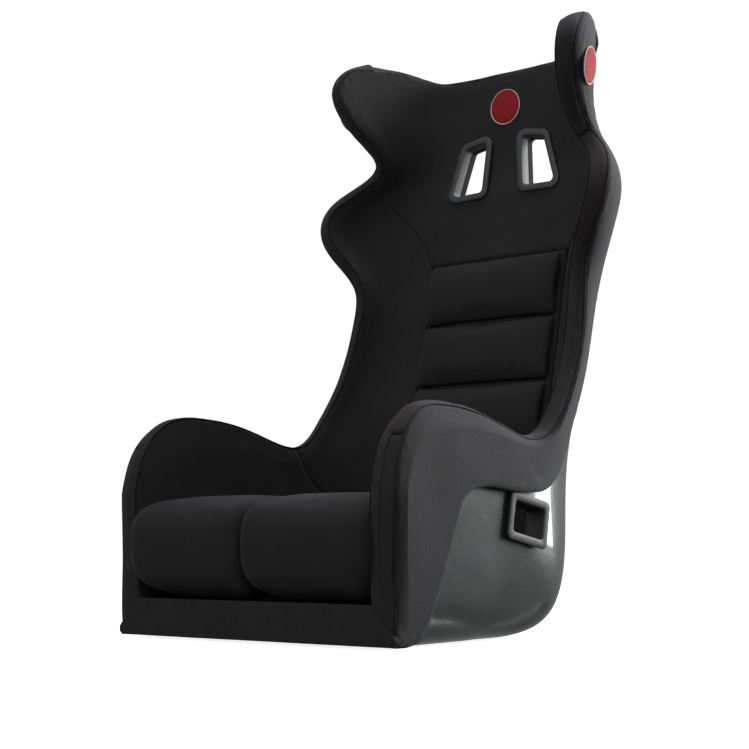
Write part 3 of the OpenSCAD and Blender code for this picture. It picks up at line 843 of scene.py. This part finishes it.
# %% The front border, mitred to the bolsters
BORDER_TOP, BORDER_FOOT, BORDER_Y, BORDER_CROWN = 48, -5, -11.0, 1.5
up = spaced(24, 0.7)
z = BORDER_FOOT + (BORDER_TOP - BORDER_FOOT) * up
half_width = np.interp(z, (-6, 0, 8, 48), (255, 259.5, 258, 220))
x = (spaced(160, 0.85) * 2 - 1)[None] * half_width[:, None]
y = BORDER_Y - BORDER_CROWN * np.sin(math.pi * up)[:, None]
border_face = np.stack(np.broadcast_arrays(x, y, z[:, None]), -1)
border = upholstered("front_border_pad", border_face, np.array([0, -1, 0.0]), 9, drop=3.5,
    radius=8, pucker=0.35, seed=23)
stands(border, COVER, "cover_fabric", "front_border", fill=0.7)

# %% [markdown]
# ## The outer covers
# Outside, one padded cover a side hangs from the rim. Behind the shoulders it ends in a soft edge,
# and at the hip that edge sweeps forward and down to the front corner. The pad thins towards it.

# %% Outer covers, one sewn piece a side
OUTER_ROWS = [(0.1, 3.0, 4), (4.3, 2.9, 4), (8, 2.6, 4), (11.5, 2.62, 4), (12.6, 2.7, 4),
    (13.3, 2.92, 4), (13.9, 3.14, 4), (14.5, 3.25, 4), (15.3, 3.3, 4), (16.2, 3.36, 4),
    (17.0, 3.32, 4), (17.4, 3.12, 4), (17.9, 2.85, 4), (18.4, 2.5, 4), (18.8, 2.2, 4),
    (19.05, 1.9, 4), (20, 1.82, 4)]
WING_SWELL, OUTER_THIN, CORNER_X = 7, 4.5, 259


def outer_depth(u, v):
    thick = np.clip(np.maximum(v - 2.6, (u - 13.0) / 1.5), 0, 1)
    swell = WING_SWELL * np.exp(-((u - 1.9) / 1.7) ** 2 - ((v - 3.3) / 0.55) ** 2)
    return -OUTER_THIN + (pad_out(u) + OUTER_THIN) * thick - swell


outer_grid = cover_grid(OUTER_ROWS, 260, 44, outer_depth, SEAM_OUT, 3.82, 0.87, 0.05)
low_front = (np.clip((90 - outer_grid[..., 2]) / 60, 0, 1)
    * np.clip((90 - outer_grid[..., 1]) / 40, 0, 1))
outer_grid[..., 0] += np.maximum(0, CORNER_X - outer_grid[..., 0]) * low_front
outer_grid[..., 2] = np.maximum(outer_grid[..., 2], BORDER_FOOT)
stand_off = np.linspace(1, 3, outer_grid.shape[0])[:, None]
outer = upholstered("outer_pad", outer_grid, np.array([1, 0.3, 0.0]), stand_off, drop=4, radius=9,
    pucker=0.3, seed=25)
both(outer, COVER, "cover_fabric", "wing_cover", "hip_cover", fill=0.7)
print("outer cover:", len(outer.data.polygons), "faces")

# %% [markdown]
# ## Belt slots
# The slots are moulded frames pushed into the shell. A cross-section is carried round the slot's
# outline, so every edge has its own small radius. Each of its corners is listed as how far it lies
# outside the slot's outline, its corner radius and its place along the slot's axis.

# %% Shoulder and lap bezels
def frame_rings(shape, profile, place):
    return [place(rounded(shape, grow, radius), rise) for grow, radius, rise in profile]


SHOULDER_PROFILE = [(-1, 15, 0), (0, 16, 0.8), (0, 16, BEZEL_T - 1.8), (-0.6, 15.4, BEZEL_T - 0.6),
    (-1.8, 14.2, BEZEL_T), (1.8 - BEZEL_W, 8.8, BEZEL_T), (0.6 - BEZEL_W, 7.6, BEZEL_T - 0.6),
    (-BEZEL_W, 7, BEZEL_T - 1.8), (-BEZEL_W, 7, -14), (SLEEVE - BEZEL_W, 8, -14),
    (SLEEVE - BEZEL_W, 8, 0)]
SLEEVE_PROFILE = [(-BEZEL_W, 7, -14.3), (-BEZEL_W, 7, 1.2 - SLOT_DEPTH),
    (0.5 - BEZEL_W, 7.5, -SLOT_DEPTH), (4.2 + SLEEVE - BEZEL_W, 7.5, -SLOT_DEPTH),
    (5 + SLEEVE - BEZEL_W, 8, 0.8 - SLOT_DEPTH), (5 + SLEEVE - BEZEL_W, 8, 2.5 - SLOT_DEPTH),
    (SLEEVE - BEZEL_W, 6, 2.5 - SLOT_DEPTH), (SLEEVE - BEZEL_W, 6, -14.3)]
LAP_TOP, LAP_END = LAP_X + BEZEL_T, 219
LAP_PROFILE = [(-1, 7, LAP_X), (0, 8, LAP_X + 0.8), (0, 8, LAP_TOP - 1.6),
    (-0.5, 7.5, LAP_TOP - 0.5), (-1.6, 6.4, LAP_TOP), (2.5 - LAP_FLANGE, 7, LAP_TOP),
    (0.8 - LAP_FLANGE, 5.8, LAP_TOP - 0.8), (-LAP_FLANGE, 5, LAP_TOP - 2.5),
    (-LAP_FLANGE, 5, LAP_END), (SLEEVE - LAP_FLANGE, 6, LAP_END), (SLEEVE - LAP_FLANGE, 6, LAP_X)]
both(lofted("shoulder_frame", frame_rings(SLOT, SHOULDER_PROFILE, in_slot), 30), GREY, "grey_bezel",
    "shoulder_bezel")
both(lofted("shoulder_liner", frame_rings(SLOT, SLEEVE_PROFILE, in_slot), 30), LINER, "grey_bezel",
    "shoulder_sleeve")
both(lofted("lap_frame", frame_rings(LAP, LAP_PROFILE, in_lap), 30), BLACK, "black_bezel",
    "lap_bezel")

# %% [markdown]
# ## The loose pads
# The two seat cushions and the back cushion are sewn bags around foam. A cloth simulation blows
# each one up slightly from a smaller shape, so that the cover draws tight over the crowns and pulls
# in at the seams, which smooth modelling alone doesn't give.


# %% Inflating a sewn bag
PRESSURE, STIFF, BEND, FRAMES = 4.0, 25, 20, 20


def inflate(piece, voxel, cap):
    """Voxel remesh, a short cloth simulation without gravity, a cap on the moves, a subdivision."""
    bpy.context.view_layer.objects.active = piece
    step = piece.modifiers.new("remesh", "REMESH")
    step.mode, step.voxel_size = "VOXEL", voxel
    bpy.ops.object.modifier_apply(modifier=step.name)
    rest = np.array([p.co for p in piece.data.vertices])
    puff = piece.modifiers.new("cloth", "CLOTH")
    puff.settings.use_pressure = True
    puff.settings.uniform_pressure_force = PRESSURE
    puff.settings.effector_weights.gravity = 0
    puff.settings.tension_stiffness = STIFF
    puff.settings.compression_stiffness = STIFF
    puff.settings.bending_stiffness = BEND
    puff.point_cache.frame_start, puff.point_cache.frame_end = 1, FRAMES
    for moment in range(1, FRAMES + 1):
        bpy.context.scene.frame_set(moment)
    shape = piece.evaluated_get(bpy.context.evaluated_depsgraph_get())
    moved = np.array([p.co for p in shape.data.vertices])
    piece.modifiers.remove(puff)
    bpy.context.scene.frame_set(1)
    move = moved - rest
    size = np.linalg.norm(move, axis=1, keepdims=True)
    move *= np.minimum(1, cap / np.maximum(size, 1e-9))
    piece.data.vertices.foreach_set("co", (rest + move).ravel())
    print(piece.name, "largest move", round(float(size.max()) * 1000, 1), "mm")
    for kind in ("SMOOTH", "SUBSURF"):
        step = piece.modifiers.new("soften", kind)
        if kind == "SMOOTH":
            step.iterations, step.factor = 9, 0.5
        bpy.ops.object.modifier_apply(modifier=step.name)
    smooth(piece, 60)


# %% Seat cushion: a level top, a half-round front roll and a sloping back end
ROLL_R, ROLL_Y, CUSHION_FLOOR, BACK_TOP = 63, 27, 60.6, 152
SHRINK, BOXY, FRONT_SAG = 2.0, 0.76, 6
NARROW, FRONT_FLARE = 4.5, 9


def side_outline(inset, back):
    """Cushion outline from the side, (y, z), pulled in by some millimetres."""
    radius, foot = ROLL_R - inset, CUSHION_FLOOR + inset
    centre = CUSHION_FLOOR + ROLL_R
    arc = []
    for a in np.radians(np.linspace(268, 92, 16)):
        height = radius + (FRONT_SAG if math.sin(a) < 0 else 0)
        arc.append((ROLL_Y - radius * abs(math.cos(a)) ** BOXY,
            centre + height * math.copysign(abs(math.sin(a)) ** BOXY, math.sin(a))))
    top = centre + radius
    back_line = [(ROLL_Y + (back - ROLL_Y) * s, top - (top - BACK_TOP + inset) * s ** 2)
        for s in (0.2, 0.45, 0.7, 0.88)]
    heel = [(back - inset - 4, BACK_TOP - inset - 4), (back - inset - 10, BACK_TOP - inset - 22),
        (back - inset - 30, foot + 22), (back - inset - 38, foot + 4), (back - inset - 48, foot)]
    floor = [(y, foot) for y in np.linspace(back - inset - 90, ROLL_Y + 30, 6)]
    return np.array(arc + back_line + heel + floor)


def seat_cushion():
    """Rings of one shape from the middle outwards, each listed as (x, pulled in by, back end)."""
    shapes = [(0.6, 9, 418), (1.6, 4.5, 422), (4, 1.5, 425), (9, 0, 426), (60, 0, 424),
        (110, 0, 420), (140, 0, 412), (170, 0, 372), (196, 0, 330), (205, 1.8, 300), (211, 5, 280),
        (216, 11, 262), (218.5, 18, 250)]
    rings = []
    for x, inset, back in shapes:
        flat = side_outline(inset + SHRINK, back)
        narrower = NARROW * np.clip((flat[:, 0] - 55) / 40, 0, 1) * (x > 150)
        wider = FRONT_FLARE * np.clip((5 - flat[:, 0]) / 22, 0, 1) * (x > 190)
        ring_x = (x + SHRINK if x < 20 else x - SHRINK) - narrower + wider
        rings.append(np.column_stack([ring_x, flat]))
    return lofted("seat_pad", rings, loop=False)


pad = seat_cushion()
inflate(pad, 0.005, 0.008)
low, high = pad.bound_box[0], pad.bound_box[6]
print("seat cushion x", round(low[0] * 1000), "to", round(high[0] * 1000), "mm")
pad.name = "seat_pad_left"
pad_twin = mirrored(pad, "seat_pad_right")
stands(pad, CUSHION, "cushion_fabric", "seat_cushion_left", body="left_cushion", fill=0.85)
stands(pad_twin, CUSHION, "cushion_fabric", "seat_cushion_right", body="right_cushion", fill=0.85)

# %% Back cushion: four sewn segments, each crowned between its channels
PAD_U, PAD_V, SEGMENT = (8.66, 13.35), 1.26, 105
ROWS_EACH, COLUMNS_EACH, PAD_LIFT = 26, 41, 2.2
pad_u = np.linspace(*PAD_U, 400)
pad_height = surface(pad_u, 0)[0][:, 2]


def segment(i):
    high_z = pad_height[0] - i * SEGMENT - 1
    low_z = max(pad_height[0] - (i + 1) * SEGMENT + 1, pad_height[-1])
    us = np.interp(-np.linspace(high_z, low_z, ROWS_EACH), -pad_height, pad_u)
    down, across = np.linspace(0, 1, ROWS_EACH)[:, None], np.linspace(-1, 1, COLUMNS_EACH)[None]
    v = PAD_V * across * 0.985
    crown = 5 + 11.5 * (np.sin(math.pi * np.clip(down, 0.001, 0.999)) ** 0.42
        * np.clip(1 - abs(across) ** 9, 0, 1) ** 0.6)
    foot = pad_in(us)[:, None] + PAD_LIFT
    top = at(us[:, None], v, foot + crown)
    bottom = at(us[:, None], v, foot + 0 * crown)
    piece = slab("pad_segment_%d" % i, top, bottom)
    inflate(piece, 0.004, 0.005)
    return piece


segments = [segment(i) for i in range(4)]
cushion = segments[0]
bpy.ops.object.select_all(action="DESELECT")
for piece in segments:
    piece.select_set(True)
bpy.context.view_layer.objects.active = cushion
bpy.ops.object.join()
cushion.name = cushion.data.name = "back_cushion_pad"
stands(cushion, CUSHION, "cushion_fabric", "back_cushion", body="lumbar_cushion", fill=0.85)
print("back cushion:", len(cushion.data.polygons), "faces")


# %% [markdown]
# ## Badges
# Plain embroidered discs mark the head and the wings. They carry no sign. Each is a low dome with
# a pale cord sewn round it, lofted from rings.


# %% Discs
def disc(name, u, v, depth, radius):
    """A raised disc and the pale cord sewn round it."""
    point, normal, _ = surface(u, v)
    centre = point - normal * depth
    face = -normal if depth > 0 else normal
    side = unit(np.cross(face, (0, 0, 1.0)))
    turn = np.linspace(0, 2 * math.pi, 64, endpoint=False)[:, None]
    spoke = np.cos(turn) * side + np.sin(turn) * np.cross(side, face)
    rings = [centre + face * rise + radius * share * spoke
        for share, rise in ((0.97, 0), (1, 0.5), (1, 1.0), (0.97, 1.5), (0.5, 1.7), (0.1, 1.8))]
    cord = [centre + face * (1.2 + 0.9 * math.sin(a)) + (radius + 0.9 * math.cos(a)) * spoke
        for a in np.linspace(0, 2 * math.pi, 10, endpoint=False)]
    return lofted(name, rings, 30, loop=False), lofted(name + "_edge", cord, 60)


head_disc, head_edge = disc("head_disc", 2.2, 0, pad_in(2.2) - 0.2, 29)
stands(head_disc, RED, "red_badge", "head_badge")
stands(head_edge, PALE, "red_badge", "head_badge")
wing_disc, wing_edge = disc("wing_disc", 2.4, 3.5, outer_depth(2.4, 3.5) + 0.2, 28)
both(wing_disc, RED, "red_badge", "wing_badge")
both(wing_edge, PALE, "red_badge", "wing_badge")
print("discs:", [o.name for o in bpy.data.objects if "_disc" in o.name])

# %% [markdown]
# ## What stays from the solids
# The inserts and the strips of hook tape already have their true shape, so they only get a finish.

# %% Finishes on the solids
for name, material in (("threaded_inserts", ZINC), ("seat_hook_tapes", HOOK),
        ("back_hook_tapes", HOOK)):
    node = frame["nodes"][name]
    node.data.materials.clear()
    node.data.materials.append(material)
    print(name, "in", material.name)

# %% [markdown]
# ## Studio
# The floor and the surroundings are pale and plain. A large soft light stands behind the seat on
# its left side, where it draws the bright edge of the shell, and a weaker one fills from the front.


# %% Floor, surroundings, lights
def studio():
    half, level = 9000, FLOOR_Z - 1
    ground = mesh_piece("floor", [(-half, -half, level), (half, -half, level), (half, half, level),
        (-half, half, level)], [(0, 1, 2, 3)])
    paint = Paint("pale_floor")
    paint.finish(base_color=(0.9, 0.9, 0.9), roughness=0.9, emission_color=(1, 1, 1),
        emission_strength=0.86, specular_ior_level=0.1)
    ground.data.materials.append(paint.material)
    ground.visible_diffuse = ground.visible_glossy = False
    world = bpy.data.worlds.new("studio")
    bpy.context.scene.world = world
    world.use_nodes = True
    nodes, links = world.node_tree.nodes, world.node_tree.links
    pale, seen = nodes["Background"], nodes.new("ShaderNodeBackground")
    pale.inputs["Color"].default_value = (1, 1, 1, 1)
    pale.inputs["Strength"].default_value = 0.2
    seen.inputs["Color"].default_value = (1, 1, 1, 1)
    seen.inputs["Strength"].default_value = 1.05
    path, mix = nodes.new("ShaderNodeLightPath"), nodes.new("ShaderNodeMixShader")
    links.new(path.outputs["Is Camera Ray"], mix.inputs["Fac"])
    links.new(pale.outputs[0], mix.inputs[1])
    links.new(seen.outputs[0], mix.inputs[2])
    links.new(mix.outputs[0], nodes["World Output"].inputs["Surface"])


def softbox(name, where, target, size, power):
    light = bpy.data.lights.new(name, "AREA")
    light.shape, light.size, light.size_y, light.energy = "RECTANGLE", size[0], size[1], power
    lamp = bpy.data.objects.new(name, light)
    bpy.context.scene.collection.objects.link(lamp)
    lamp.location = where
    lamp.rotation_euler = (Vector(target) - Vector(where)).to_track_quat("-Z", "Y").to_euler()


studio()
softbox("back_left_light", (1.25, 2.05, 1.4), (0.1, 0.1, 0.45), (1.2, 1.8), 100)
softbox("edge_light", (0.85, 2.1, 0.4), (0.2, 0.2, 0.3), (0.6, 0.6), 9)
softbox("side_fill", (1.5, -1.9, 1.5), (-0.1, 0.1, 0.5), (1.4, 1.4), 14)
softbox("front_fill", (-0.6, -2.6, 1.9), (0, 0, 0.5), (2.2, 1.6), 20)
softbox("top_light", (0.1, 0.3, 2.6), (0, 0.1, 0.5), (1.6, 1.6), 26)

# %% Camera
camera = bpy.data.objects.new("camera", bpy.data.cameras.new("camera"))
bpy.context.scene.collection.objects.link(camera)
camera.location = (1.6029, -1.7530, 0.1325)
camera.rotation_euler = (math.radians(95.791), 0, math.radians(41))
camera.data.lens, camera.data.sensor_width = 80.06, 36
bpy.context.scene.camera = camera
bpy.context.scene.view_settings.view_transform = "Standard"
